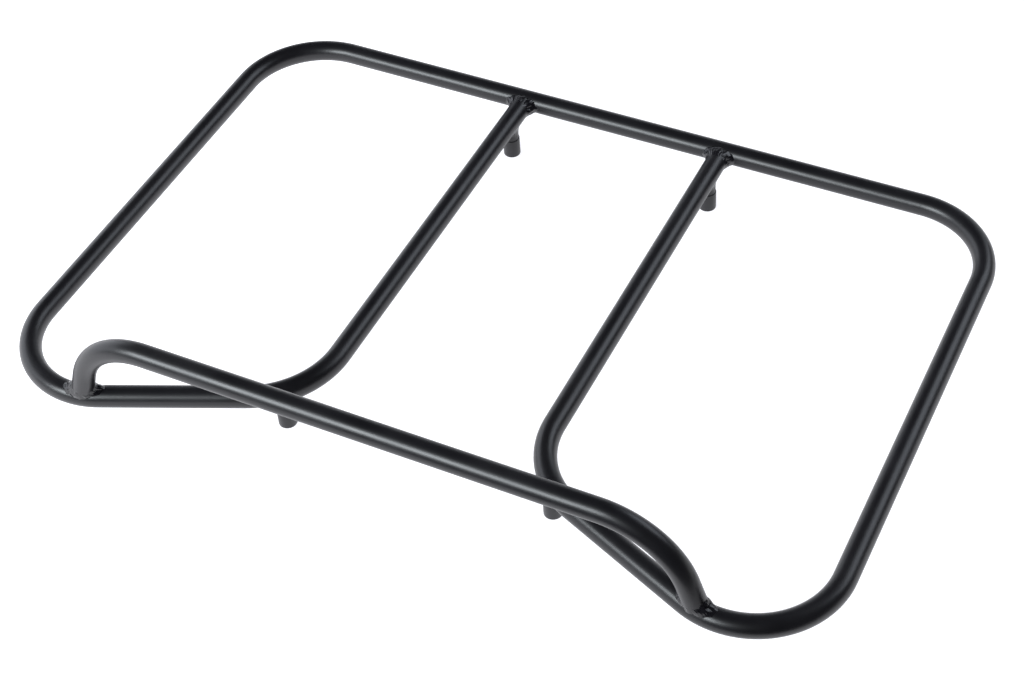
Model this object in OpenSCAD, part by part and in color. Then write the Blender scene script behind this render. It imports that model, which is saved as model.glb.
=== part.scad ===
// Rigid welded luggage rack of round steel tube: one bent deck tube, a raised front hoop and
// four tapped bosses under the deck. The rack is symmetrical about the plane x = 0.
// The origin is the middle of the rack's outline, level with the ends of the four bosses:
// +X to the rack's right, +Y to the rear rail, +Z up. Millimetres and degrees.

/* [Tube] */
// Outside diameter of both tubes
tube_od = 12; // [10:0.2:14.4]
// Wall of both tubes
tube_wall = 1.5; // [1:0.1:2]

/* [Deck] */
// Overall width, outside to outside
deck_w = 468; // [390:1:562]
// Overall depth, outside to outside
deck_d = 317; // [264:1:381]
// Spacing of the two inner rails, centre to centre
inner_pitch = 125; // [104:1:150]
// Bend radius of the rear corners, at the tube's centreline
rear_corner_r = 47; // [36:1:56]
// Bend radius of the front corners, at the tube's centreline
front_corner_r = 46; // [36:1:55]
// Bend radius where the inner rails turn into the diagonals, at the tube's centreline
inner_bend_r = 50; // [40:1:60]
// Angle between the rear rail and the diagonals, seen from above
diagonal_angle = 22.6; // [18:0.2:27]

/* [Hoop] */
// Height of the hoop's bar over the deck, centreline to centreline
hoop_rise = 50; // [42:1:60]
// Distance between the hoop's feet on the deck, centre to centre
hoop_foot_pitch = 346; // [290:1:360]
// Lean of the hoop's legs from the vertical, outwards going down
hoop_lean = 18; // [10:1:22]
// Bend radius of the hoop's corners, at the tube's centreline
hoop_bend_r = 46; // [36:1:50]

/* [Bosses] */
// Outside diameter of a boss
boss_od = 10; // [8.4:0.1:12]
// Distance from the deck's centreline down to the ends of the bosses
boss_drop = 23.5; // [20:0.5:30]
// Length of the boss's full-diameter barrel
barrel_len = 12; // [10:0.5:13]
// Shoulder between the barrel and the neck that is welded, on the radius
neck_step = 0.4; // [0.2:0.1:0.8]
// Chamfer round the barrel's two edges
boss_chamfer = 0.6; // [0.3:0.1:1]
// Tapping diameter of the thread, 5.0 for M6
tap_d = 5; // [4.2:0.1:5.2]
// Length of full thread
tap_depth = 11; // [8:0.5:13]
// Distance of the rear bosses in front of the rear rail, centre to centre
rear_boss_inset = 22; // [18:0.5:40]
// How far round the inner bend the front bosses stand, from the inner rail
front_boss_turn = 45; // [25:1:50]

/* [Welds] */
// Gap between a coped tube end and the tube that it meets
root_gap = 0.3; // [0.1:0.1:0.6]
// How near to the other tube's centreline the thin horns of a cope may reach
horn_trim = 4.4; // [4:0.1:4.8]
// Legs of the welds at the rear rail: along the inner rail, then along the rear rail
rail_weld_legs = [5.5, 4.5];
// Legs of the welds at the hoop's feet: up the leg, then along the deck
foot_weld_legs = [3.5, 5.5];
// Legs of the welds at the bosses: down the neck, then along the deck
boss_weld_legs = [4, 2];
// Height of a weld's crown over the straight line between its toes
weld_crown = 0.8; // [0:0.1:1]

/* [Hidden] */
$fn = 240;

tube_r = tube_od / 2;
bore_r = tube_r - tube_wall;
// A bend's skins stand this far proud of a straight's, and the straight runs this far into the
// bend, so that the two always join in a clean edge
bend_growth = 0.02;
bend_lap = 0.2;
boss_r = boss_od / 2;
neck_r = boss_r - neck_step;
// Angle of the drill's point at the bottom of a tapped hole
drill_point = 118;
mirrored = [1, 0, 0];

// Level and outline of the deck's centreline, on the right-hand side
deck_z = boss_drop;
side_x = deck_w / 2 - tube_r;
inner_x = inner_pitch / 2;
rear_y = deck_d / 2 - tube_r;
front_y = -rear_y;
rear_corner = [side_x - rear_corner_r, rear_y - rear_corner_r, deck_z];
front_corner = [side_x - front_corner_r, front_y + front_corner_r, deck_z];
front_turn = 90 + diagonal_angle;
inner_turn = 90 - diagonal_angle;

// The diagonal leaves the front corner here and heads outwards along diagonal_dir
diagonal_dir = [cos(diagonal_angle), -sin(diagonal_angle), 0];
diagonal_start = front_corner + front_corner_r * [cos(front_turn), -sin(front_turn), 0];
inner_bend_x = inner_x + inner_bend_r;
diagonal_end_x = inner_bend_x - inner_bend_r * cos(inner_turn);
diagonal_len = (diagonal_start.x - diagonal_end_x) / cos(diagonal_angle);
inner_bend = [
    inner_bend_x,
    diagonal_start.y + diagonal_len * sin(diagonal_angle) + inner_bend_r * sin(inner_turn),
    deck_z,
];

// Where the hoop's feet stand: run is the distance along the deck's centreline from the end
// of the diagonal, positive round the front corner
foot_x = hoop_foot_pitch / 2;
foot_run = foot_x < diagonal_start.x
    ? (foot_x - diagonal_start.x) / cos(diagonal_angle)
    : (front_turn - acos((foot_x - front_corner.x) / front_corner_r)) * front_corner_r * PI / 180;
foot = front_at(foot_run);
leg_dir = [-sin(hoop_lean), 0, cos(hoop_lean)];
leg_len = hoop_rise / cos(hoop_lean);
hoop_turn = 90 - hoop_lean;
hoop_tangent = hoop_bend_r * tan(hoop_turn / 2);
hoop_corner_x = foot_x - hoop_rise * tan(hoop_lean) - hoop_tangent;

rear_boss = [inner_x, rear_y - rear_boss_inset, deck_z];
front_boss_run = inner_bend_r * front_boss_turn * PI / 180;
front_boss = inner_at(front_boss_run);

// Centreline of the diagonal and the front corner at a run, and its direction there
function front_at(run) =
    let (a = run / front_corner_r * 180 / PI - front_turn)
    run < 0 ? diagonal_start + run * diagonal_dir
            : front_corner + front_corner_r * [cos(a), sin(a), 0];
function front_dir(run) =
    let (a = max(run, 0) / front_corner_r * 180 / PI - front_turn) [-sin(a), cos(a), 0];

// Centreline of the inner rail and its bend at a run from the start of the bend
function inner_at(run) =
    let (a = 180 + run / inner_bend_r * 180 / PI)
    run < 0 ? [inner_x, inner_bend.y - run, deck_z]
            : inner_bend + inner_bend_r * [cos(a), sin(a), 0];
function inner_dir(run) =
    let (a = 180 + max(run, 0) / inner_bend_r * 180 / PI) [-sin(a), cos(a), 0];

// ---- tube stretches ---------------------------------------------------------------------

module ring(r_out, r_in) {
    difference() {
        circle(r_out);
        if (r_in > 0) circle(r_in);
    }
}

// A straight stretch from a point along a direction, lapping into the bends at its ends.
// Here and below, r_in = 0 makes a solid bar.
module run_tube(from, dir, len, r_out = tube_r, r_in = bore_r, laps = [bend_lap, bend_lap]) {
    turn_z = atan2(dir.y, dir.x);
    turn_y = acos(dir.z / norm(dir));
    translate(from) rotate([0, turn_y, turn_z]) translate([0, 0, -laps[0]])
        linear_extrude(len + laps[0] + laps[1]) ring(r_out, r_in);
}

// A bend about a centre in a level plane, from one angle through another
module bend_tube(centre, radius, from, through, r_out = tube_r, r_in = bore_r) {
    translate(centre) rotate([0, 0, from]) rotate_extrude(angle = through)
        translate([radius, 0]) ring(r_out + bend_growth, r_in - bend_growth);
}

module right_and_left() {
    children();
    mirror(mirrored) children();
}

// ---- deck tube --------------------------------------------------------------------------

module rear_rail(r_out = tube_r, r_in = bore_r) {
    run_tube([-rear_corner.x, rear_y, deck_z], [1, 0, 0], 2 * rear_corner.x, r_out, r_in);
}

// The right-hand diagonal and front corner, which carry a hoop foot
module front_run(r_out = tube_r, r_in = bore_r) {
    run_tube(diagonal_start - diagonal_len * diagonal_dir, diagonal_dir, diagonal_len, r_out, r_in);
    bend_tube(front_corner, front_corner_r, -front_turn, front_turn, r_out, r_in);
}

module inner_bend_tube(r_out = tube_r, r_in = bore_r) {
    bend_tube(inner_bend, inner_bend_r, 180, inner_turn, r_out, r_in);
}

// The inner rail, coped to sit against the rear rail
module coped_inner_rail(r_out = tube_r, r_in = bore_r) {
    difference() {
        run_tube([inner_x, inner_bend.y, deck_z], [0, 1, 0],
                 rear_y - horn_trim - inner_bend.y, r_out, r_in, [bend_lap, 0]);
        rear_rail(tube_r + root_gap, 0);
    }
}

module side_rail() {
    run_tube([side_x, front_corner.y, deck_z], [0, 1, 0], rear_corner.y - front_corner.y);
}

module deck_tube() {
    color("#1c1e21") {
        rear_rail();
        right_and_left() {
            bend_tube(rear_corner, rear_corner_r, 0, 90);
            side_rail();
            front_run();
            inner_bend_tube();
            coped_inner_rail();
        }
    }
}

// ---- hoop -------------------------------------------------------------------------------

// The right-hand leg below its bend, coped over the deck tube
module coped_leg(r_out = tube_r, r_in = bore_r) {
    difference() {
        run_tube(foot + horn_trim * leg_dir, leg_dir, leg_len - hoop_tangent - horn_trim,
                 r_out, r_in, [0, bend_lap]);
        front_run(tube_r + root_gap, 0);
    }
}

module hoop_tube() {
    bar_z = deck_z + hoop_rise;
    color("#1c1e21") {
        run_tube([-hoop_corner_x, foot.y, bar_z], [1, 0, 0], 2 * hoop_corner_x);
        right_and_left() {
            translate([hoop_corner_x, foot.y, bar_z - hoop_bend_r]) rotate([90, 0, 0])
                bend_tube([0, 0, 0], hoop_bend_r, 90 - hoop_turn, hoop_turn);
            coped_leg();
        }
    }
}

// ---- bosses -----------------------------------------------------------------------------

// A turned boss standing down from the deck: barrel, shoulder and neck, tapped from its end.
// Its top stands inside the deck tube until the tube's saddle is cut out of it.
module boss(at) {
    top = boss_drop - neck_r / 2;
    drill_tip = tap_d / 2 / tan(drill_point / 2);
    color("#222326") translate([at.x, at.y, at.z - boss_drop]) difference() {
        rotate_extrude() polygon([
            [0, 0], [boss_r - boss_chamfer, 0], [boss_r, boss_chamfer],
            [boss_r, barrel_len - neck_step], [neck_r, barrel_len], [neck_r, top], [0, top],
        ]);
        cylinder(h = tap_depth, d = tap_d);
        translate([0, 0, tap_depth]) cylinder(h = drill_tip, r1 = tap_d / 2, r2 = 0);
        cylinder(h = boss_chamfer, r1 = tap_d / 2 + boss_chamfer, r2 = tap_d / 2);
    }
}

module rear_boss() {
    difference() {
        boss(rear_boss);
        coped_inner_rail(tube_r + root_gap, 0);
    }
}

module front_boss() {
    difference() {
        boss(front_boss);
        inner_bend_tube(tube_r + root_gap, 0);
    }
}

// ---- welds ------------------------------------------------------------------------------

bead_stations = 36;
bead_samples = 4;
bead_points = bead_samples + 2;
// Depth of a bead's toes and of its root below the tubes' skins, before the tubes are cut away
toe_depth = 0.2;
root_depth = 1.3;
// How far round the header a bead's toe reaches at the joint's two sides
toe_limit = 64;

function unit(v) = v / norm(v);
function across(v, axis) = v - (v * axis) * axis;

// One cross-section of a bead, at an angle round the branch. The branch, of radius r, leaves
// the joint along dir; the header runs along axis and lies on the side opposite to up. skin
// gives a point of the header: distance along it, angle round it from up, radius. The bead
// reaches at least cover out from the header's centreline, over the branch's coped horns.
function bead_section(phi, joint, dir, r, axis, up, skin, legs, cover) =
    let (
        side = cross(up, axis),
        e1 = unit(across(axis, dir)),
        out = cos(phi) * e1 + sin(phi) * cross(dir, e1),
        flat_dir = across(dir, axis),
        flat_out = r * across(out, axis),
        qa = flat_dir * flat_dir,
        qb = flat_dir * flat_out,
        qc = flat_out * flat_out - tube_r * tube_r,
        meet = (sqrt(max(0, qb * qb - qa * qc)) - qb) / qa,
        reach = max(meet, cover),
        toe_along = (reach * dir + r * out) * axis + legs[1] * (out * axis),
        toe_round = toe_limit * (out * side),
        branch_toe = joint + (max(reach, tube_r) + legs[0]) * dir + (r - toe_depth) * out,
        header_toe = skin(toe_along, toe_round, tube_r - toe_depth),
        lift = unit(skin(toe_along, toe_round, 1) - skin(toe_along, toe_round, 0)),
        crown_dir = unit(out + lift),
        root = joint + (reach - root_depth) * dir + (r - root_depth) * out
    )
    concat([root], [
        for (i = [0:bead_samples])
            let (t = i / bead_samples)
            (1 - t) * branch_toe + t * header_toe + 2 * sqrt(t * (1 - t)) * weld_crown * crown_dir
    ]);

module bead(joint, dir, r, axis, up, skin, legs, cover = 0) {
    rings = [
        for (k = [0:bead_stations - 1])
            bead_section(k * 360 / bead_stations, joint, dir, r, axis, up, skin, legs, cover)
    ];
    function at(k, j) = (k % bead_stations) * bead_points + j % bead_points;
    polyhedron(
        points = [for (one = rings) each one],
        faces = [
            for (k = [0:bead_stations - 1], j = [0:bead_points - 1])
                each [
                    [at(k, j), at(k, j + 1), at(k + 1, j + 1)],
                    [at(k, j), at(k + 1, j + 1), at(k + 1, j)],
                ]
        ]
    );
}

// Points of the three headers' skins, on the right-hand side
function rear_skin(s, a, r) = [inner_x + s, rear_y - r * cos(a), deck_z + r * sin(a)];
function foot_skin(s, a, r) =
    let (d = front_dir(foot_run + s))
    front_at(foot_run + s) + r * [-sin(a) * d.y, sin(a) * d.x, cos(a)];
function boss_skin(run, s, a, r) =
    let (d = inner_dir(run + s))
    inner_at(run + s) + r * [sin(a) * d.y, -sin(a) * d.x, -cos(a)];

module rail_weld() {
    color("#26272a") difference() {
        difference() {
            bead([inner_x, rear_y, deck_z], [0, -1, 0], tube_r, [1, 0, 0], [0, -1, 0],
                 function (s, a, r) rear_skin(s, a, r), rail_weld_legs, horn_trim);
            rear_rail(tube_r, 0);
        }
        coped_inner_rail(tube_r, 0);
    }
}

module hoop_weld() {
    color("#26272a") difference() {
        difference() {
            bead(foot, leg_dir, tube_r, front_dir(foot_run), [0, 0, 1],
                 function (s, a, r) foot_skin(s, a, r), foot_weld_legs, horn_trim);
            front_run(tube_r, 0);
        }
        coped_leg(tube_r, 0);
    }
}

module rear_boss_weld() {
    run = inner_bend.y - rear_boss.y;
    color("#26272a") difference() {
        difference() {
            bead(rear_boss, [0, 0, -1], neck_r, inner_dir(run), [0, 0, -1],
                 function (s, a, r) boss_skin(run, s, a, r), boss_weld_legs);
            coped_inner_rail(tube_r, 0);
        }
        rear_boss();
    }
}

module front_boss_weld() {
    color("#26272a") difference() {
        difference() {
            bead(front_boss, [0, 0, -1], neck_r, inner_dir(front_boss_run), [0, 0, -1],
                 function (s, a, r) boss_skin(front_boss_run, s, a, r), boss_weld_legs);
            inner_bend_tube(tube_r, 0);
        }
        front_boss();
    }
}

deck_tube();
hoop_tube();
mirror(mirrored) rear_boss();  // boss_rear_left
rear_boss();  // boss_rear_right
mirror(mirrored) front_boss();  // boss_front_left
front_boss();  // boss_front_right
mirror(mirrored) rail_weld();  // weld_rail_left
rail_weld();  // weld_rail_right
mirror(mirrored) hoop_weld();  // weld_hoop_left
hoop_weld();  // weld_hoop_right
mirror(mirrored) rear_boss_weld();  // weld_boss_rear_left
rear_boss_weld();  // weld_boss_rear_right
mirror(mirrored) front_boss_weld();  // weld_boss_front_left
front_boss_weld();  // weld_boss_front_right
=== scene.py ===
"""The looks of a rigid welded luggage rack: black powder coat on bent tube, bosses and welds.

Metres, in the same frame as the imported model: +X to the rack's right, +Y to the rear rail, +Z up.
Everything is symmetrical about x = 0, so each shape is described on the right and mirrored.
"""

import logging
import math
from collections.abc import Callable
from dataclasses import dataclass, field
from enum import Enum

import bpy
from mathutils import Matrix, Vector, noise

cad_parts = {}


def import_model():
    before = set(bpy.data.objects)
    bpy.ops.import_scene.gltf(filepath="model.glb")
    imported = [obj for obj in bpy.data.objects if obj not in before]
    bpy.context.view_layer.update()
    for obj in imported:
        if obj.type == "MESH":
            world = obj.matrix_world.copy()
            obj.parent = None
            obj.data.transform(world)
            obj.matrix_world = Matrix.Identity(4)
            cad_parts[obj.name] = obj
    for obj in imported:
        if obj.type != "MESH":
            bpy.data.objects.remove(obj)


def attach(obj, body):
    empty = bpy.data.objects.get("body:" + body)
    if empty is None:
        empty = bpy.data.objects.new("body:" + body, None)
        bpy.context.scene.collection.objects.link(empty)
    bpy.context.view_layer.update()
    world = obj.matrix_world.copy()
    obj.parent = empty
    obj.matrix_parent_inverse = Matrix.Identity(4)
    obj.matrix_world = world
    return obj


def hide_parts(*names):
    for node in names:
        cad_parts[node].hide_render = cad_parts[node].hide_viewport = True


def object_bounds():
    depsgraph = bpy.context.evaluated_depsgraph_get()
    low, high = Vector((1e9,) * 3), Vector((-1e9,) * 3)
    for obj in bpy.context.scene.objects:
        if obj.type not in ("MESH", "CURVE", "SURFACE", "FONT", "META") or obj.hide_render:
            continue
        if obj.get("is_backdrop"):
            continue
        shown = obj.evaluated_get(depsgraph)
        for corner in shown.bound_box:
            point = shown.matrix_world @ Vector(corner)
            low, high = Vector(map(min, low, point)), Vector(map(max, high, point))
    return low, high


MM = 0.001
Z_UP = Vector((0.0, 0.0, 1.0))
# The powder coat's texture, in features to the metre
GRIT_PER_METRE = 5200.0
SPECKS_PER_METRE = 1900.0
CLOUDS_PER_METRE = 42.0
PATCHES_PER_METRE = 11.0
# Share of the dust that lies evenly between the specks, and how far dust roughens the coat
EVEN_DUST = 0.35
DUST_ROUGHENS = 0.5
log = logging.getLogger("rack")


class Side(Enum):
    """Which half of the rack a piece belongs to; the value is the sign of its x."""

    RIGHT = 1
    LEFT = -1


# ---- meshes -------------------------------------------------------------------------------


def make_object(
    name: str,
    points: list[Vector],
    faces: list[tuple[int, ...]],
    side: Side = Side.RIGHT,
) -> bpy.types.Object:
    """Makes a smooth-shaded mesh object from points and faces.

    Args:
        name: The object's name.
        points: Its vertices, described on the rack's right.
        faces: Its faces as vertex numbers, seen anticlockwise from outside.
        side: LEFT mirrors the shape about x = 0.

    Returns:
        The new object, linked to the scene.
    """
    if side is Side.LEFT:
        points = [Vector((-p.x, p.y, p.z)) for p in points]
        faces = [tuple(reversed(f)) for f in faces]
    mesh = bpy.data.meshes.new(name)
    mesh.from_pydata([tuple(p) for p in points], [], faces)
    mesh.validate()
    mesh.shade_smooth()
    thing = bpy.data.objects.new(name, mesh)
    bpy.context.scene.collection.objects.link(thing)
    return thing


def crease(thing: bpy.types.Object, degrees: float) -> None:
    """Shades sharp every edge that turns more than an angle.

    Args:
        thing: The mesh object.
        degrees: The largest turn that stays smooth.
    """
    thing.data.set_sharp_from_angle(angle=math.radians(degrees))


def grid_faces(rows: int, columns: int, closed_rows: bool) -> list[tuple[int, ...]]:
    """Faces of a grid of points whose columns close on themselves.

    Args:
        rows: Number of rings.
        columns: Points in each ring.
        closed_rows: True if the last ring joins the first.

    Returns:
        The quads as vertex numbers.
    """
    last = rows if closed_rows else rows - 1
    return [
        (
            i * columns + j,
            i * columns + (j + 1) % columns,
            (i + 1) % rows * columns + (j + 1) % columns,
            (i + 1) % rows * columns + j,
        )
        for i in range(last)
        for j in range(columns)
    ]


@dataclass
class Station:
    """A place on a tube's centreline: its point and its direction."""

    point: Vector
    heading: Vector


@dataclass
class TubePath:
    """A centreline of straights and bends in one plane, drawn like a bending plan."""

    start: Vector
    heading: Vector
    normal: Vector
    step: float = math.radians(3.0)
    longest: float = 0.012
    stations: list[Station] = field(default_factory=list)

    def __post_init__(self) -> None:
        """Puts the first station at the start."""
        self.stations.append(Station(self.start.copy(), self.heading.normalized()))

    def straight(self, length: float) -> "TubePath":
        """Adds a straight.

        Args:
            length: Its length.

        Returns:
            The path, so that calls chain.
        """
        last = self.stations[-1]
        count = max(1, math.ceil(length / self.longest))
        for i in range(1, count + 1):
            point = last.point + last.heading * (length * i / count)
            self.stations.append(Station(point, last.heading.copy()))
        return self

    def bend(self, radius: float, turn: float) -> "TubePath":
        """Adds a bend.

        Args:
            radius: Bend radius at the centreline.
            turn: Angle in radians, positive by the right-hand rule about the plane's normal.

        Returns:
            The path, so that calls chain.
        """
        last = self.stations[-1]
        inward = self.normal.cross(last.heading) * math.copysign(1.0, turn)
        centre = last.point + inward * radius
        count = max(2, math.ceil(abs(turn) / self.step))
        for i in range(1, count + 1):
            spin = Matrix.Rotation(turn * i / count, 3, self.normal)
            self.stations.append(Station(centre - spin @ (inward * radius), spin @ last.heading))
        return self


@dataclass
class Tube:
    """A round tube swept along a path."""

    outer: float
    wall: float
    segments: int = 48

    def ring(self, station: Station, normal: Vector, radius: float) -> list[Vector]:
        """The points of one ring.

        Args:
            station: Where it stands.
            normal: The path's plane normal.
            radius: The ring's radius.

        Returns:
            The points, anticlockwise seen along the heading's reverse.
        """
        across = normal.cross(station.heading)
        turns = [2 * math.pi * j / self.segments for j in range(self.segments)]
        return [station.point + radius * (math.cos(a) * across + math.sin(a) * normal) for a in turns]

    def sweep(self, name: str, path: TubePath) -> bpy.types.Object:
        """Sweeps the tube, with its bore and its two cut ends.

        Args:
            name: The object's name.
            path: The centreline.

        Returns:
            The tube's object.
        """
        skin = [p for s in path.stations for p in self.ring(s, path.normal, self.outer)]
        bore = [p for s in reversed(path.stations) for p in self.ring(s, path.normal, self.outer - self.wall)]
        faces = [tuple(reversed(f)) for f in grid_faces(2 * len(path.stations), self.segments, True)]
        return make_object(name, skin + bore, faces)


# ---- finishes -----------------------------------------------------------------------------


def new_group(
    name: str,
    inputs: dict[str, float | tuple[float, ...]],
    outputs: dict[str, str],
) -> bpy.types.NodeTree:
    """Makes an empty shader node group.

    Args:
        name: Its name.
        inputs: Default of each input; a number makes a float socket, and four numbers a colour.
        outputs: Socket type of each output, "NodeSocketFloat" or "NodeSocketColor".

    Returns:
        The group, with its input and output nodes placed.
    """
    group = bpy.data.node_groups.new(name, "ShaderNodeTree")
    for label, value in inputs.items():
        kind = "NodeSocketFloat" if isinstance(value, (int, float)) else "NodeSocketColor"
        socket = group.interface.new_socket(name=label, in_out="INPUT", socket_type=kind)
        socket.default_value = value
    for label, kind in outputs.items():
        group.interface.new_socket(name=label, in_out="OUTPUT", socket_type=kind)
    group.nodes.new("NodeGroupInput").name = "in"
    group.nodes.new("NodeGroupOutput").name = "out"
    return group


@dataclass
class NodeKit:
    """Adds and joins nodes in one tree."""

    tree: bpy.types.NodeTree

    def add(self, kind: str, settings: dict[str, object] | None = None, **sockets: object) -> bpy.types.Node:
        """Adds a node.

        Args:
            kind: The node's type name.
            settings: Its properties.
            **sockets: Values or links of its inputs; a name like in_0 means the input's number.

        Returns:
            The new node.
        """
        node = self.tree.nodes.new(kind)
        for key, value in (settings or {}).items():
            setattr(node, key, value)
        for key, value in sockets.items():
            by_number = key.startswith("in_")
            socket = node.inputs[int(key[3:]) if by_number else key.replace("_", " ")]
            if isinstance(value, bpy.types.NodeSocket):
                self.tree.links.new(value, socket)
            else:
                socket.default_value = value
        return node

    def math(self, operation: str, *values: object) -> bpy.types.NodeSocket:
        """A Math node's result.

        Args:
            operation: The operation's name.
            *values: Its inputs, numbers or sockets.

        Returns:
            The output socket.
        """
        numbered = {f"in_{i}": value for i, value in enumerate(values)}
        return self.add("ShaderNodeMath", {"operation": operation}, **numbered).outputs[0]

    def ramp(
        self,
        factor: bpy.types.NodeSocket,
        low: float,
        high: float,
        to_low: float = 0.0,
        to_high: float = 1.0,
    ) -> bpy.types.NodeSocket:
        """Maps a value from one range to another, held at the ends.

        Args:
            factor: The value.
            low: The value that gives to_low.
            high: The value that gives to_high.
            to_low: Result at low.
            to_high: Result at high.

        Returns:
            The output socket.
        """
        limits = {"From_Min": low, "From_Max": high, "To_Min": to_low, "To_Max": to_high}
        return self.add("ShaderNodeMapRange", {"clamp": True}, Value=factor, **limits).outputs[0]

    def noise(
        self,
        where: bpy.types.NodeSocket,
        per_metre: float | bpy.types.NodeSocket,
        detail: float = 2.0,
        roughness: float = 0.5,
    ) -> bpy.types.NodeSocket:
        """A 3-D noise value.

        Args:
            where: The coordinates.
            per_metre: Its scale, a number or a socket.
            detail: Number of octaves.
            roughness: Weight of each finer octave.

        Returns:
            The factor socket.
        """
        settings = {"Scale": per_metre, "Detail": detail, "Roughness": roughness}
        return self.add("ShaderNodeTexNoise", Vector=where, **settings).outputs["Fac"]

    def blend(
        self,
        share: bpy.types.NodeSocket,
        first: bpy.types.NodeSocket,
        second: bpy.types.NodeSocket,
    ) -> bpy.types.NodeSocket:
        """Mixes two colours.

        Args:
            share: How much of the second colour shows.
            first: The first colour.
            second: The second colour.

        Returns:
            The colour socket.
        """
        mix = self.add("ShaderNodeMix", {"data_type": "RGBA"}, in_0=share, in_6=first, in_7=second)
        return mix.outputs[2]

    def grey(
        self,
        tone: bpy.types.NodeSocket,
        blue: bpy.types.NodeSocket | None = None,
    ) -> bpy.types.NodeSocket:
        """Makes a grey colour from one value.

        Args:
            tone: The red and green value, and the blue one where no other is given.
            blue: The blue value.

        Returns:
            The colour socket.
        """
        last = tone if blue is None else blue
        return self.add("ShaderNodeCombineColor", Red=tone, Green=tone, Blue=last).outputs[0]


def coat_group() -> bpy.types.NodeTree:
    """The skin of powder coat: orange peel, cloudy gloss, fine texture and settled dust.

    Returns:
        The shared group, with outputs Color, Roughness and Height (in metres).
    """
    group = new_group(
        "powder_coat_skin",
        {
            "Coat": (0.016, 0.018, 0.021, 1.0),
            "Faded": (0.026, 0.029, 0.033, 1.0),
            "Dust": (0.16, 0.155, 0.145, 1.0),
            "Roughness": 0.34,
            "Cloud": 0.05,
            "Peel": 8e-6,
            "Peel scale": 520.0,
            "Grit": 1.5e-6,
            "Dust share": 0.03,
        },
        {"Color": "NodeSocketColor", "Roughness": "NodeSocketFloat", "Height": "NodeSocketFloat"},
    )
    kit, given = NodeKit(group), group.nodes["in"].outputs
    where = kit.add("ShaderNodeTexCoord").outputs["Object"]
    peel = kit.noise(where, given["Peel scale"], 1.5, 0.45)
    grit = kit.noise(where, GRIT_PER_METRE, 2.0, 0.6)
    cloud = kit.noise(where, CLOUDS_PER_METRE, 3.0, 0.55)
    patch = kit.noise(where, PATCHES_PER_METRE, 4.0, 0.6)
    normal = kit.add("ShaderNodeNewGeometry").outputs["Normal"]
    up = kit.add("ShaderNodeSeparateXYZ", Vector=normal).outputs["Z"]
    base = kit.blend(kit.ramp(cloud, 0.35, 0.7), given["Coat"], given["Faded"])
    dust = kit.math("MULTIPLY", kit.ramp(up, 0.55, 1.0), kit.ramp(patch, 0.5, 0.75))
    specks = kit.ramp(kit.noise(where, SPECKS_PER_METRE, 1.0), 0.62, 0.72)
    thickness = kit.math("MULTIPLY", dust, given["Dust share"])
    share = kit.math("MULTIPLY", thickness, kit.math("ADD", specks, EVEN_DUST))
    tinted = kit.blend(share, base, given["Dust"])
    spread = kit.math("MULTIPLY", kit.math("SUBTRACT", cloud, 0.5), given["Cloud"])
    clouded = kit.math("ADD", given["Roughness"], spread)
    rough = kit.math("ADD", clouded, kit.math("MULTIPLY", share, DUST_ROUGHENS))
    waves = kit.math("MULTIPLY", peel, given["Peel"])
    height = kit.math("ADD", waves, kit.math("MULTIPLY", grit, given["Grit"]))
    out = group.nodes["out"].inputs
    group.links.new(tinted, out["Color"])
    group.links.new(rough, out["Roughness"])
    group.links.new(height, out["Height"])
    return group


@dataclass(frozen=True)
class PowderCoat:
    """A satin black powder coat on one kind of piece."""

    name: str
    coat: tuple[float, float, float, float] = (0.0032, 0.0030, 0.0044, 1.0)
    faded: tuple[float, float, float, float] = (0.0050, 0.0048, 0.0066, 1.0)
    roughness: float = 0.36
    cloud: float = 0.08
    peel: float = 9e-6
    peel_scale: float = 420.0
    grit: float = 1.2e-6
    dust_share: float = 0.05
    specular: float = 0.5

    def material(self, skin: bpy.types.NodeTree) -> bpy.types.Material:
        """Builds the material.

        Args:
            skin: The shared powder coat group.

        Returns:
            The new material.
        """
        made = bpy.data.materials.new(self.name)
        made.use_nodes = True
        kit = NodeKit(made.node_tree)
        shader = made.node_tree.nodes["Principled BSDF"]
        shader.inputs["Specular IOR Level"].default_value = self.specular
        look = kit.add("ShaderNodeGroup", {"node_tree": skin})
        values = {
            "Coat": self.coat,
            "Faded": self.faded,
            "Roughness": self.roughness,
            "Cloud": self.cloud,
            "Peel": self.peel,
            "Peel scale": self.peel_scale,
            "Grit": self.grit,
            "Dust share": self.dust_share,
        }
        for label, value in values.items():
            look.inputs[label].default_value = value
        bump = kit.add("ShaderNodeBump", Strength=1.0, Distance=1.0, Height=look.outputs["Height"])
        made.node_tree.links.new(look.outputs["Color"], shader.inputs["Base Color"])
        made.node_tree.links.new(look.outputs["Roughness"], shader.inputs["Roughness"])
        made.node_tree.links.new(bump.outputs["Normal"], shader.inputs["Normal"])
        return made


# ---- the rack's sizes ---------------------------------------------------------------------


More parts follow.
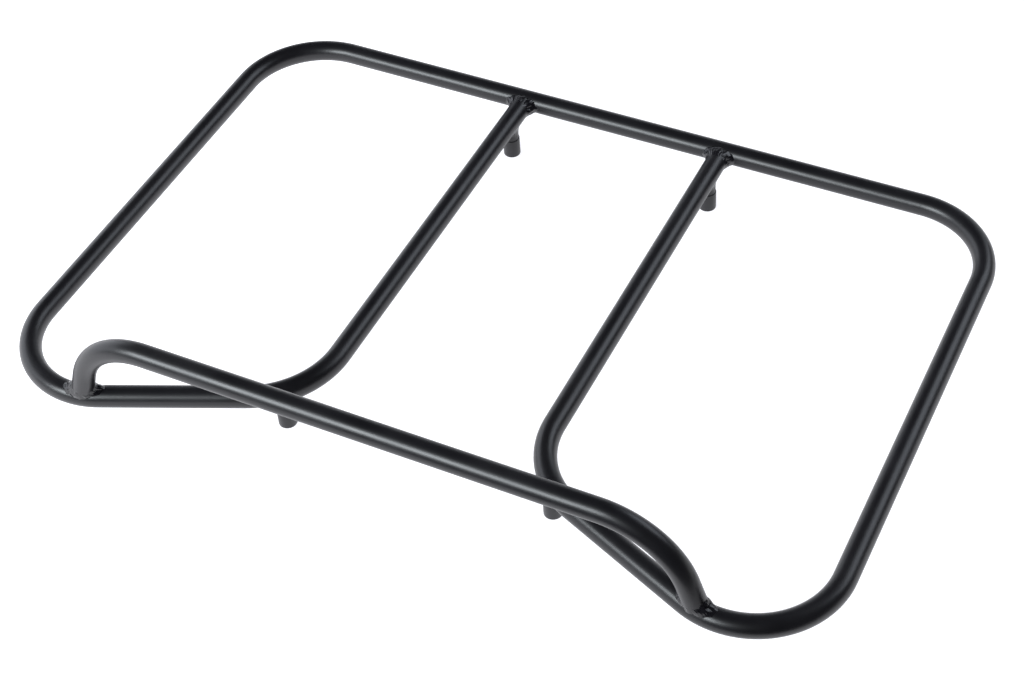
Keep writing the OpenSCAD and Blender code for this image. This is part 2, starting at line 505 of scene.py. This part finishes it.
@dataclass(frozen=True)
class RackPlan:
    """The rack's driving sizes, with the places that follow from them."""

    low: Vector
    high: Vector
    tube_r: float = 6.0 * MM
    tube_wall: float = 1.5 * MM
    deck_z: float = 23.5 * MM
    inner_x: float = 62.5 * MM
    rear_corner_r: float = 47.0 * MM
    front_corner_r: float = 46.0 * MM
    inner_bend_r: float = 50.0 * MM
    diagonal_angle: float = math.radians(22.6)
    hoop_foot_x: float = 173.0 * MM
    hoop_lean: float = math.radians(18.0)
    hoop_bend_r: float = 46.0 * MM
    rear_boss_inset: float = 22.0 * MM
    front_boss_turn: float = math.radians(45.0)

    @property
    def side_x(self) -> float:
        """Centreline of the side rails."""
        return self.high.x - self.tube_r

    @property
    def rear_y(self) -> float:
        """Centreline of the rear rail."""
        return self.high.y - self.tube_r

    @property
    def bar_z(self) -> float:
        """Centreline of the hoop's bar."""
        return self.high.z - self.tube_r

    @property
    def front_corner(self) -> Vector:
        """Centre of the right front corner's bend."""
        front_y = self.low.y + self.tube_r
        return Vector((self.side_x - self.front_corner_r, front_y + self.front_corner_r, self.deck_z))

    @property
    def diagonal_start(self) -> Vector:
        """Where the right diagonal meets the front corner's bend."""
        turn = math.pi / 2 + self.diagonal_angle
        return self.front_corner + self.front_corner_r * Vector((math.cos(turn), -math.sin(turn), 0.0))

    @property
    def diagonal_length(self) -> float:
        """Length of the diagonal between its two bends."""
        end_x = self.inner_x + self.inner_bend_r * (1 - math.sin(self.diagonal_angle))
        return (self.diagonal_start.x - end_x) / math.cos(self.diagonal_angle)

    @property
    def inner_bend(self) -> Vector:
        """Centre of the bend where the right inner rail turns into the diagonal."""
        rise = self.diagonal_length * math.sin(self.diagonal_angle)
        rise += self.inner_bend_r * math.cos(self.diagonal_angle)
        return Vector((self.inner_x + self.inner_bend_r, self.diagonal_start.y + rise, self.deck_z))

    @property
    def foot_run(self) -> float:
        """The hoop foot's distance along the front centreline from the diagonal's end, round the corner."""
        reach = math.acos((self.hoop_foot_x - self.front_corner.x) / self.front_corner_r)
        return (math.pi / 2 + self.diagonal_angle - reach) * self.front_corner_r

    def front_at(self, run: float) -> Vector:
        """A point of the front centreline.

        Args:
            run: Its distance from the diagonal's end, positive round the corner.

        Returns:
            The point.
        """
        if run < 0:
            return self.diagonal_start + run * self.front_heading(0.0)
        a = run / self.front_corner_r - math.pi / 2 - self.diagonal_angle
        return self.front_corner + self.front_corner_r * Vector((math.cos(a), math.sin(a), 0.0))

    def front_heading(self, run: float) -> Vector:
        """The front centreline's direction at a run."""
        a = max(run, 0.0) / self.front_corner_r - math.pi / 2 - self.diagonal_angle
        return Vector((-math.sin(a), math.cos(a), 0.0))

    def inner_at(self, run: float) -> Vector:
        """A point of the inner rail's centreline.

        Args:
            run: Its distance from the start of the bend, positive round the bend.

        Returns:
            The point.
        """
        if run < 0:
            return Vector((self.inner_x, self.inner_bend.y - run, self.deck_z))
        a = math.pi + run / self.inner_bend_r
        return self.inner_bend + self.inner_bend_r * Vector((math.cos(a), math.sin(a), 0.0))

    def inner_heading(self, run: float) -> Vector:
        """The inner rail's direction at a run."""
        a = math.pi + max(run, 0.0) / self.inner_bend_r
        return Vector((-math.sin(a), math.cos(a), 0.0))


# ---- welds --------------------------------------------------------------------------------

# A short step along the header's skin that gives its direction
NUDGE = 0.01 * MM
# Keeps the drift of a bead's toes apart from its swell
DRIFT_OFFSET = Vector((7.0, 3.0, 1.0))
# Makes t * t * (1 - t) reach 1 at its highest
BULGE_SCALE = 27 / 4


@dataclass(frozen=True)
class Joint:
    """A branch standing on a header tube: places, directions and the header's skin."""

    centre: Vector
    branch: Vector
    branch_r: float
    header: Vector
    up: Vector
    header_r: float
    skin: Callable[[float, float, float], Vector]


@dataclass(frozen=True)
class WeldBead:
    """A rippled fillet weld round a branch, with its toes sunk just under both skins.

    The bead climbs the branch by branch_leg above the header's skin. It runs out by header_leg
    along the header, and round the header as far as toe_limit. It is crowned by flank_crown along
    the header and by hood_crown square to it, where its lumps fade to smooth_hood of their height.
    The higher swell_rate and drift_rate are, the more often the toes wander round the joint, and
    leg_wander and limit_wander say how far. The middle of a ripple trails its ends by chevron
    ripples.
    """

    branch_leg: float
    header_leg: float
    flank_crown: float = 0.15 * MM
    hood_crown: float = 0.8 * MM
    flow: float = 0.7
    toe_limit: float = math.radians(62.0)
    sink: float = 0.06 * MM
    cover: float = 4.4 * MM
    root_depth: float = 1.3 * MM
    ripple: float = 0.04 * MM
    ripple_pitch: float = 1.5 * MM
    lump: float = 0.5 * MM
    lump_size: float = 2.6 * MM
    lump_gain: float = 2.4
    smooth_hood: float = 0.15
    swell_rate: float = 2.1
    drift_rate: float = 3.7
    leg_wander: float = 2.2
    limit_wander: float = 350.0
    chevron: float = 0.9
    stations: int = 280
    samples: int = 14
    seed: float = 0.0

    def section(self, joint: Joint, turn: float, travelled: float) -> list[Vector]:
        """The points of one cross-section.

        Args:
            joint: The joint.
            turn: Angle round the branch.
            travelled: Length of bead already laid, which drives the ripples.

        Returns:
            The points from the branch's toe over the crown to the header's toe, then the root.
        """
        side = joint.up.cross(joint.header)
        square = (joint.header - joint.header.dot(joint.branch) * joint.branch).normalized()
        out = math.cos(turn) * square + math.sin(turn) * joint.branch.cross(square)
        reach = max(self.meeting(joint, out), self.cover)
        end = reach * joint.branch + joint.branch_r * out
        wander = Vector((math.cos(turn), math.sin(turn), self.seed))
        swell = noise.noise(self.swell_rate * wander) * self.lump
        drift = noise.noise(self.drift_rate * wander + DRIFT_OFFSET) * self.lump
        steepness = out.dot(side)
        header_leg = self.header_leg + self.leg_wander * swell
        along = end.dot(joint.header) + header_leg * out.dot(joint.header)
        round_ = self.toe_limit * steepness * (1 + self.limit_wander * drift)
        top = max(reach, joint.header_r) + self.branch_leg + self.leg_wander * drift
        branch_toe = joint.centre + top * joint.branch + (joint.branch_r - self.sink) * out
        header_toe = joint.skin(along, round_, joint.header_r - self.sink)
        lift = (joint.skin(along, round_, 1.0) - joint.skin(along, round_, 0.0)).normalized()
        crown_dir = (out + lift).normalized()
        crown = self.flank_crown + (self.hood_crown - self.flank_crown) * steepness**2
        crumple = self.smooth_hood + (1.0 - self.smooth_hood) * (1.0 - abs(steepness))
        onward = joint.skin(
            along + NUDGE * out.dot(joint.header),
            round_ + NUDGE * steepness / joint.header_r,
            joint.header_r - self.sink,
        )
        pull = self.flow * (header_toe - branch_toe).length
        leave = pull * (onward - header_toe).normalized()
        points = []
        for i in range(self.samples + 1):
            t = i / self.samples
            arch = 4.0 * t * (1 - t)
            bulge = BULGE_SCALE * t**2 * (1 - t)
            near = (1 + 2 * t) * (1 - t) ** 2 * branch_toe + (3 - 2 * t) * t**2 * header_toe
            near += -t * (1 - t) ** 2 * pull * joint.branch + t**2 * (t - 1) * leave
            phase = 2 * math.pi * (travelled / self.ripple_pitch - self.chevron * arch)
            wave = self.ripple * math.cos(phase) * math.sqrt(arch)
            place = near / self.lump_size + Vector((self.seed, 2.0 * self.seed, 0.0))
            knob = self.lump * crumple * noise.noise(place) * self.lump_gain * arch
            points.append(near + (crown * bulge + swell * arch + wave + knob) * crown_dir)
        root = joint.centre + (reach - self.root_depth) * joint.branch
        root += (joint.branch_r - self.root_depth) * out
        return [*points, root]

    @staticmethod
    def meeting(joint: Joint, out: Vector) -> float:
        """How far along the branch one line of its skin meets the header's skin.

        Args:
            joint: The joint.
            out: The line's direction from the branch's axis.

        Returns:
            The distance from the joint's centre.
        """
        flat_dir = joint.branch - joint.branch.dot(joint.header) * joint.header
        flat_out = joint.branch_r * (out - out.dot(joint.header) * joint.header)
        a, b = flat_dir.length_squared, flat_dir.dot(flat_out)
        c = flat_out.length_squared - joint.header_r**2
        return (math.sqrt(max(0.0, b * b - a * c)) - b) / a

    def build(self, name: str, joint: Joint, side: Side) -> bpy.types.Object:
        """Builds the bead.

        Args:
            name: The object's name.
            joint: The joint, described on the right.
            side: Which half it belongs to.

        Returns:
            The bead's object.
        """
        length = 2 * math.pi * (joint.branch_r + 0.5 * self.header_leg)
        ripples = round(length / self.ripple_pitch)
        points: list[Vector] = []
        for k in range(self.stations):
            share = k / self.stations
            points += self.section(joint, 2 * math.pi * share, share * ripples * self.ripple_pitch)
        faces = grid_faces(self.stations, self.samples + 2, True)
        return make_object(name, points, faces, side)


# ---- sub-assemblies -----------------------------------------------------------------------

# Degrees that a surface may turn before its edge is shaded sharp: a tube's cut, and a turned part
CUT_EDGE = 40.0
TURNED_EDGE = 38.0


@dataclass
class DeckTube:
    """The deck: one long tube bent round the rack, from one inner rail's end to the other's."""

    plan: RackPlan
    end_in_weld: float = 1.2 * MM

    def path(self) -> TubePath:
        """The bending plan, from the right inner rail's coped end to the left one's.

        Returns:
            The whole centreline.
        """
        plan = self.plan
        end_y = plan.rear_y - plan.tube_r + self.end_in_weld
        inner_turn = math.pi / 2 - plan.diagonal_angle
        front_turn = math.pi / 2 + plan.diagonal_angle
        inner_rail = end_y - plan.inner_bend.y
        side_rail = plan.rear_y - plan.rear_corner_r - plan.front_corner.y
        path = TubePath(Vector((plan.inner_x, end_y, plan.deck_z)), Vector((0.0, -1.0, 0.0)), Z_UP)
        path.straight(inner_rail).bend(plan.inner_bend_r, inner_turn)
        path.straight(plan.diagonal_length).bend(plan.front_corner_r, front_turn)
        path.straight(side_rail).bend(plan.rear_corner_r, math.pi / 2)
        path.straight(2 * (plan.side_x - plan.rear_corner_r)).bend(plan.rear_corner_r, math.pi / 2)
        path.straight(side_rail).bend(plan.front_corner_r, front_turn)
        path.straight(plan.diagonal_length).bend(plan.inner_bend_r, inner_turn)
        return path.straight(inner_rail)

    def build(self, coat: bpy.types.Material) -> bpy.types.Object:
        """Builds and dresses the deck.

        Args:
            coat: Its material.

        Returns:
            The deck's object.
        """
        made = Tube(self.plan.tube_r, self.plan.tube_wall).sweep("deck_bent_tube", self.path())
        crease(made, CUT_EDGE)
        made.data.materials.append(coat)
        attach(made, "root")
        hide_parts("deck_tube")
        return made


@dataclass
class HoopTube:
    """The raised hoop along the deck's front edge."""

    plan: RackPlan
    stub: float = 4.8 * MM

    def path(self) -> TubePath:
        """The bending plan, from the left foot to the right one.

        Returns:
            The whole centreline.
        """
        plan = self.plan
        foot = plan.front_at(plan.foot_run)
        rise = plan.bar_z - plan.deck_z
        turn = math.pi / 2 - plan.hoop_lean
        tangent = plan.hoop_bend_r * math.tan(turn / 2)
        leg = rise / math.cos(plan.hoop_lean) - tangent - self.stub
        bar = 2 * (foot.x - rise * math.tan(plan.hoop_lean) - tangent)
        heading = Vector((math.sin(plan.hoop_lean), 0.0, math.cos(plan.hoop_lean)))
        start = Vector((-foot.x, foot.y, plan.deck_z)) + self.stub * heading
        path = TubePath(start, heading, Vector((0.0, 1.0, 0.0)))
        path.straight(leg).bend(plan.hoop_bend_r, turn).straight(bar)
        return path.bend(plan.hoop_bend_r, turn).straight(leg)

    def build(self, coat: bpy.types.Material) -> bpy.types.Object:
        """Builds and dresses the hoop.

        Args:
            coat: Its material.

        Returns:
            The hoop's object.
        """
        made = Tube(self.plan.tube_r, self.plan.tube_wall).sweep("hoop_bent_tube", self.path())
        crease(made, CUT_EDGE)
        made.data.materials.append(coat)
        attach(made, "root")
        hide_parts("hoop_tube")
        return made


@dataclass
class Boss:
    """A turned boss, with its neck, its chamfered end and the thread in its hole."""

    outer: float = 5.0 * MM
    neck: float = 4.6 * MM
    barrel: float = 12.0 * MM
    top: float = 20.5 * MM
    chamfer: float = 0.6 * MM
    pitch: float = 1.0 * MM
    crest: float = 2.5 * MM
    groove: float = 0.5 * MM
    thread: float = 11.0 * MM
    drill_tip: float = 1.5 * MM
    mouth_rim: float = 0.1 * MM
    rounding_steps: int = 6
    segments: int = 64
    rings_per_pitch: int = 8

    def profile(self) -> list[tuple[float, float]]:
        """The outside, from the end's inner edge up to the top of the neck.

        Returns:
            Points (radius, height).
        """
        turns = [math.pi / 2 * i / self.rounding_steps for i in range(self.rounding_steps + 1)]
        edge, step = self.chamfer, self.outer - self.neck
        lower = [(self.outer - edge * (1 - math.sin(a)), edge * (1 - math.cos(a))) for a in turns]
        shoulder = [
            (self.neck + step * math.cos(a), self.barrel - step + step * math.sin(a)) for a in turns
        ]
        countersink = (self.crest + self.groove + self.mouth_rim, 0.0)
        return [countersink, *lower, *shoulder, (self.neck, self.top)]

    def bore(self) -> list[list[tuple[float, float]]]:
        """The threaded hole, from its mouth to the drill's tip.

        Returns:
            One ring of (radius, height) per level, each with a radius for every segment.
        """
        levels = round(self.thread / self.pitch * self.rings_per_pitch)
        rings = []
        for i in range(1, levels + 1):
            z = self.thread * i / levels
            fade = min(1.0, z / self.chamfer)
            ring = []
            for j in range(self.segments):
                phase = (z / self.pitch - j / self.segments) % 1.0
                depth = self.groove * abs(2 * phase - 1)
                ring.append((self.crest + depth + (1 - fade) * (self.groove - depth), z))
            rings.append(ring)
        return rings

    def build(
        self,
        name: str,
        node: str,
        foot: Vector,
        side: Side,
        coat: bpy.types.Material,
    ) -> bpy.types.Object:
        """Builds and dresses one boss.

        Args:
            name: The object's name.
            node: The node that it stands for.
            foot: The middle of its lower end, on the right.
            side: Which half it belongs to.
            coat: Its material.

        Returns:
            The boss's object.
        """
        turns = [2 * math.pi * j / self.segments for j in range(self.segments)]

        def ring(levels: list[tuple[float, float]]) -> list[Vector]:
            """Places one ring of points round the axis."""
            return [
                foot + Vector((r * math.cos(a), r * math.sin(a), z)) for a, (r, z) in zip(turns, levels)
            ]

        outside = [ring([level] * self.segments) for level in reversed(self.profile())]
        inside = [ring(levels) for levels in self.bore()]
        rings = [*outside, *inside]
        points = [p for one in rings for p in one]
        faces = [tuple(reversed(f)) for f in grid_faces(len(rings), self.segments, False)]
        tip = len(points)
        points.append(foot + Vector((0.0, 0.0, self.thread + self.drill_tip)))
        last = (len(rings) - 1) * self.segments
        faces += [(last + j, last + (j + 1) % self.segments, tip) for j in range(self.segments)]
        faces.append(tuple(range(self.segments)))
        made = make_object(name, points, faces, side)
        crease(made, TURNED_EDGE)
        made.data.materials.append(coat)
        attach(made, "root")
        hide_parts(node)
        return made


@dataclass
class Fittings:
    """The four bosses and the eight weld beads, on both halves of the rack."""

    plan: RackPlan

    def rail_joint(self) -> Joint:
        """The right inner rail's end on the rear rail."""
        plan = self.plan

        def skin(s: float, a: float, r: float) -> Vector:
            """A point of the rear rail's skin."""
            return Vector((plan.inner_x + s, plan.rear_y - r * math.cos(a), plan.deck_z + r * math.sin(a)))

        centre = Vector((plan.inner_x, plan.rear_y, plan.deck_z))
        toward = Vector((0.0, -1.0, 0.0))
        return Joint(centre, toward, plan.tube_r, Vector((1.0, 0.0, 0.0)), toward, plan.tube_r, skin)

    def foot_joint(self) -> Joint:
        """The hoop's right leg on the deck."""
        plan = self.plan

        def skin(s: float, a: float, r: float) -> Vector:
            """A point of the deck's skin under the hoop's foot.

            Args:
                s: Distance along the deck from the foot.
                a: Angle round the deck's tube from its top.
                r: Distance from the tube's centreline.

            Returns:
                The point.
            """
            d = plan.front_heading(plan.foot_run + s)
            outward = Vector((-math.sin(a) * d.y, math.sin(a) * d.x, math.cos(a)))
            return plan.front_at(plan.foot_run + s) + r * outward

        leg = Vector((-math.sin(plan.hoop_lean), 0.0, math.cos(plan.hoop_lean)))
        heading = plan.front_heading(plan.foot_run)
        return Joint(plan.front_at(plan.foot_run), leg, plan.tube_r, heading, Z_UP, plan.tube_r, skin)

    def boss_joint(self, run: float, neck: float) -> Joint:
        """A boss's neck under the right inner rail.

        Args:
            run: Its place along the inner rail.
            neck: The neck's radius.

        Returns:
            The joint.
        """
        plan = self.plan

        def skin(s: float, a: float, r: float) -> Vector:
            """A point of the inner rail's skin round the boss."""
            d = plan.inner_heading(run + s)
            return plan.inner_at(run + s) + r * Vector((math.sin(a) * d.y, -math.sin(a) * d.x, -math.cos(a)))

        return Joint(plan.inner_at(run), -Z_UP, neck, plan.inner_heading(run), -Z_UP, plan.tube_r, skin)

    def build(self, boss_coat: bpy.types.Material, weld_coat: bpy.types.Material) -> list[bpy.types.Object]:
        """Builds and dresses the bosses and the beads.

        Args:
            boss_coat: The bosses' material.
            weld_coat: The beads' material.

        Returns:
            The new objects.
        """
        plan, boss = self.plan, Boss()
        rear_run = plan.inner_bend.y - (plan.rear_y - plan.rear_boss_inset)
        runs = {"rear": rear_run, "front": plan.inner_bend_r * plan.front_boss_turn}
        made = []
        for side in Side:
            word = side.name.lower()
            for place, run in runs.items():
                foot = plan.inner_at(run)
                foot.z = 0.0
                node = f"boss_{place}_{word}"
                made.append(boss.build(f"{node}_threaded", node, foot, side, boss_coat))
            rail_bead = WeldBead(branch_leg=5.4 * MM, header_leg=4.4 * MM, seed=1.3 + side.value)
            foot_bead = WeldBead(branch_leg=3.4 * MM, header_leg=5.2 * MM, seed=4.1 + side.value)
            beads = {
                f"weld_rail_{word}": (rail_bead, self.rail_joint()),
                f"weld_hoop_{word}": (foot_bead, self.foot_joint()),
            }
            for place, run in runs.items():
                bead = WeldBead(
                    branch_leg=3.4 * MM,
                    header_leg=1.7 * MM,
                    flank_crown=0.05 * MM,
                    hood_crown=0.1 * MM,
                    ripple=0.03 * MM,
                    lump=0.15 * MM,
                    cover=0.0,
                    seed=6.0 + side.value * len(place),
                )
                beads[f"weld_boss_{place}_{word}"] = (bead, self.boss_joint(run, boss.neck))
            for node, (bead, joint) in beads.items():
                thing = bead.build(f"{node}_bead", joint, side)
                thing.data.materials.append(weld_coat)
                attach(thing, "root")
                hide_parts(node)
                made.append(thing)
        return made


# ---- studio -------------------------------------------------------------------------------


@dataclass(frozen=True)
class SoftLight:
    """A rectangular soft light: where it is, what it faces, its width and height, watts and tint."""

    name: str
    at: tuple[float, float, float]
    toward: tuple[float, float, float]
    size: tuple[float, float]
    power: float
    tint: tuple[float, float, float]

    def build(self) -> None:
        """Adds the light to the scene."""
        data = bpy.data.lights.new(self.name, "AREA")
        data.shape = "RECTANGLE"
        data.size, data.size_y = self.size
        data.energy = self.power
        data.color = self.tint
        thing = bpy.data.objects.new(self.name, data)
        aim = Vector(self.toward) - Vector(self.at)
        turn = aim.to_track_quat("-Z", "Y").to_matrix().to_4x4()
        thing.matrix_world = Matrix.Translation(Vector(self.at)) @ turn
        bpy.context.scene.collection.objects.link(thing)


PALE_BLUE = (0.88, 0.92, 1.0)
SOFT_LIGHTS = (
    SoftLight("key_softbox", (-0.9, -1.75, 1.1), (-0.2, 0.0, 0.03), (1.4, 0.75), 60.0, (0.90, 0.96, 1.0)),
    SoftLight("cool_rear_panel", (1.1, 1.36, 1.34), (0.0, 0.0, 0.0), (1.6, 1.0), 15.0, (0.84, 0.90, 1.0)),
    SoftLight("rear_horizon_panel", (-0.6, 2.0, 0.5), (0.0, 0.0, 0.1), (3.2, 0.8), 6.0, PALE_BLUE),
    SoftLight("left_horizon_panel", (-2.0, 0.1, 0.6), (0.0, 0.0, 0.1), (2.6, 1.2), 20.0, PALE_BLUE),
)


@dataclass
class Studio:
    """The floor, the lights and the camera."""

    camera_at: Vector = field(default_factory=lambda: Vector((0.3747, -0.6605, 0.7755)))
    azimuth: float = math.radians(29.55)
    elevation: float = math.radians(46.05)
    roll: float = math.radians(-4.87)
    lens: float = 69.86
    floor_half_width: float = 1.4
    floor_front: float = 0.28
    floor_back: float = 1.6
    floor_tones: tuple[float, float] = (0.33, 0.35)
    glow_fades: tuple[float, float] = (-0.3, -0.05)
    glow_left: float = 0.95
    glow_right: float = 0.60
    glow: float = 1.30
    glow_blue: float = 1.06

    def camera(self) -> None:
        """Makes the scene's camera, looking down at the rack from its front right."""
        back = Vector((
            math.sin(self.azimuth) * math.cos(self.elevation),
            -math.cos(self.azimuth) * math.cos(self.elevation),
            math.sin(self.elevation),
        ))
        level = Vector((math.cos(self.azimuth), math.sin(self.azimuth), 0.0))
        right = math.cos(self.roll) * level + math.sin(self.roll) * back.cross(level)
        turn = Matrix((right, back.cross(right), back)).transposed()
        data = bpy.data.cameras.new("studio_camera")
        data.lens = self.lens
        data.sensor_width = 36.0
        data.clip_start, data.clip_end = 0.01, 50.0
        thing = bpy.data.objects.new("studio_camera", data)
        thing.matrix_world = Matrix.Translation(self.camera_at) @ turn.to_4x4()
        bpy.context.scene.collection.objects.link(thing)
        bpy.context.scene.camera = thing

    def floor(self) -> None:
        """Makes the pale floor that the bosses stand on, with a glow that is brighter on the left."""
        level = Vector((math.cos(self.azimuth), math.sin(self.azimuth), 0.0))
        away = Z_UP.cross(level)
        wide, front, back = self.floor_half_width, self.floor_front, self.floor_back
        outline = ((-wide, -front), (wide, -front), (wide, back), (-wide, back))
        corner_points = [x * level + y * away for x, y in outline]
        made = make_object("studio_floor", corner_points, [(0, 1, 2, 3)])
        paint = bpy.data.materials.new("studio_floor_white")
        paint.use_nodes = True
        kit = NodeKit(paint.node_tree)
        shader = paint.node_tree.nodes["Principled BSDF"]
        shader.inputs["Specular IOR Level"].default_value = 0.0
        shader.inputs["Roughness"].default_value = 1.0
        where = kit.add("ShaderNodeTexCoord").outputs["Object"]
        tone = kit.ramp(kit.noise(where, 3.0, 4.0), 0.3, 0.7, *self.floor_tones)
        paint.node_tree.links.new(kit.grey(tone), shader.inputs["Base Color"])
        across = kit.add("ShaderNodeSeparateXYZ", Vector=where).outputs["X"]
        glow = kit.ramp(across, *self.glow_fades, self.glow_left, self.glow_right)
        light = kit.grey(glow, kit.math("MULTIPLY", glow, self.glow_blue))
        paint.node_tree.links.new(light, shader.inputs["Emission Color"])
        shader.inputs["Emission Strength"].default_value = self.glow
        made.data.materials.append(paint)
        made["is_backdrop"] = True

    def lights(self) -> None:
        """Lights the rack with four soft panels and an even white surround."""
        for light in SOFT_LIGHTS:
            light.build()
        world = bpy.data.worlds.new("pale_surround")
        world.use_nodes = True
        sky = world.node_tree.nodes["Background"]
        sky.inputs["Color"].default_value = (1.0, 1.0, 1.0, 1.0)
        sky.inputs["Strength"].default_value = 1.0
        bpy.context.scene.world = world
        world.cycles_visibility.glossy = False

    def build(self) -> None:
        """Sets up the whole studio."""
        self.floor()
        self.lights()
        self.camera()
        bpy.context.scene.view_settings.view_transform = "Standard"


def main() -> None:
    """Builds the rack and its studio."""
    logging.basicConfig(level=logging.INFO, format="%(name)s: %(message)s")
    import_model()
    cad_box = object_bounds()
    plan = RackPlan(low=cad_box[0], high=cad_box[1])
    skin = coat_group()
    tube_coat = PowderCoat("tube_powder_coat").material(skin)
    boss_finish = PowderCoat("boss_powder_coat", roughness=0.40, peel=5e-6, peel_scale=700.0)
    weld_finish = PowderCoat("weld_powder_coat", roughness=0.24, peel=1.0e-5, peel_scale=900.0)
    boss_coat, weld_coat = boss_finish.material(skin), weld_finish.material(skin)
    deck = DeckTube(plan).build(tube_coat)
    log.info("%s: %d faces", deck.name, len(deck.data.polygons))
    hoop = HoopTube(plan).build(tube_coat)
    log.info("%s: %d faces", hoop.name, len(hoop.data.polygons))
    for piece in Fittings(plan).build(boss_coat, weld_coat):
        log.info("%s: %d faces", piece.name, len(piece.data.polygons))
    Studio().build()


if __name__ == "__main__":
    main()
